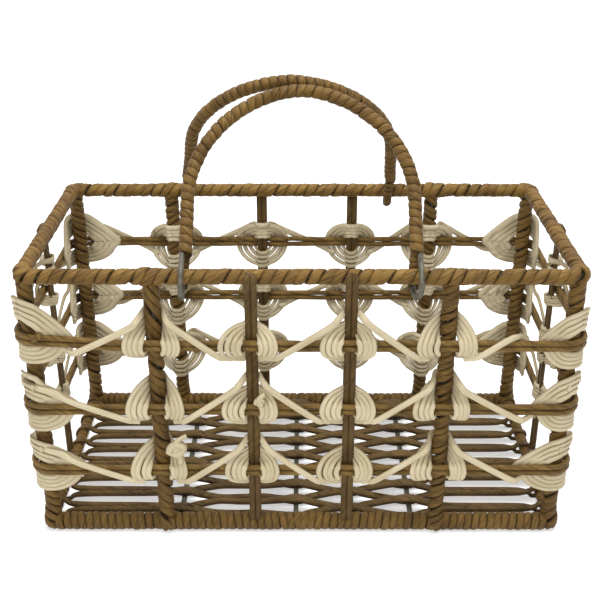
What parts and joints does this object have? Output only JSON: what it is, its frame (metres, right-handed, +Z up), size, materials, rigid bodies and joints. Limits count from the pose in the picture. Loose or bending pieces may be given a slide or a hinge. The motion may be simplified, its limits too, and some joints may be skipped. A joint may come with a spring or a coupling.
{
  "type": "magazine basket",
  "caption": "Open lattice magazine basket of brown and cream twisted paper cord on a wire frame, with swinging arched handles.",
  "frame": {"origin": "on the ground under the middle of the basket", "axes": "+Z up, +X along the long side, the front long side towards -Y"},
  "size_m": [0.424, 0.2314, 0.3332],
  "materials": {
    "brown_cord": "twisted paper cord, satin",
    "dark_cord": "twisted paper cord, satin",
    "cream_cord": "flat paper cord, satin",
    "steel_wire": "dull zinc coated wire"
  },
  "bodies": {
    "basket": {"wire_frame": "steel_wire", "floor_rib_left": "steel_wire", "floor_rib_middle": "steel_wire", "floor_rib_middle_right": "steel_wire", "floor_rib_right": "steel_wire", "rim_wrap": "brown_cord", "base_wrap": "brown_cord", "post_wrap_front_left": "brown_cord", "post_wrap_front_right": "brown_cord", "post_wrap_back_right": "brown_cord", "post_wrap_back_left": "brown_cord", "corner_wrap_front_right": "brown_cord", "corner_wrap_back_right": "brown_cord", "corner_wrap_back_left": "brown_cord", "corner_wrap_front_left": "brown_cord", "stake_front_left": "dark_cord", "stake_front_right": "dark_cord", "stake_end_right": "dark_cord", "stake_back_right": "dark_cord", "stake_back_left": "dark_cord", "stake_end_left": "dark_cord", "rail_top_upper": "dark_cord", "rail_top_lower": "dark_cord", "rail_middle_upper": "dark_cord", "rail_middle_lower": "dark_cord", "rail_bottom_upper": "dark_cord", "rail_bottom_lower": "dark_cord", "floor_row_1": "dark_cord", "floor_row_2": "dark_cord", "floor_row_3": "dark_cord", "floor_row_4": "dark_cord", "floor_row_5": "dark_cord", "floor_row_6": "dark_cord", "floor_row_7": "dark_cord", "floor_row_8": "dark_cord", "lacing_top_front": "cream_cord", "lacing_top_right": "cream_cord", "lacing_top_back": "cream_cord", "lacing_top_left": "cream_cord", "lacing_middle_front": "cream_cord", "lacing_middle_right": "cream_cord", "lacing_middle_back": "cream_cord", "lacing_middle_left": "cream_cord", "lacing_bottom_front": "cream_cord", "lacing_bottom_right": "cream_cord", "lacing_bottom_back": "cream_cord", "lacing_bottom_left": "cream_cord"},
    "front_handle": {"front_handle_wire": "steel_wire", "front_handle_wrap": "brown_cord"},
    "rear_handle": {"rear_handle_wire": "steel_wire", "rear_handle_wrap": "brown_cord"}
  },
  "joints": [
    {"name": "front_handle_swing", "type": "hinge", "parent": "basket", "child": "front_handle", "pos_m": [0, -0.1025, 0.21276], "axis": [1, 0, 0], "range_deg": [0, 195]},
    {"name": "rear_handle_swing", "type": "hinge", "parent": "basket", "child": "rear_handle", "pos_m": [-0.0085, 0.1025, 0.21276], "axis": [-1, 0, 0], "range_deg": [0, 195]}
  ]
}
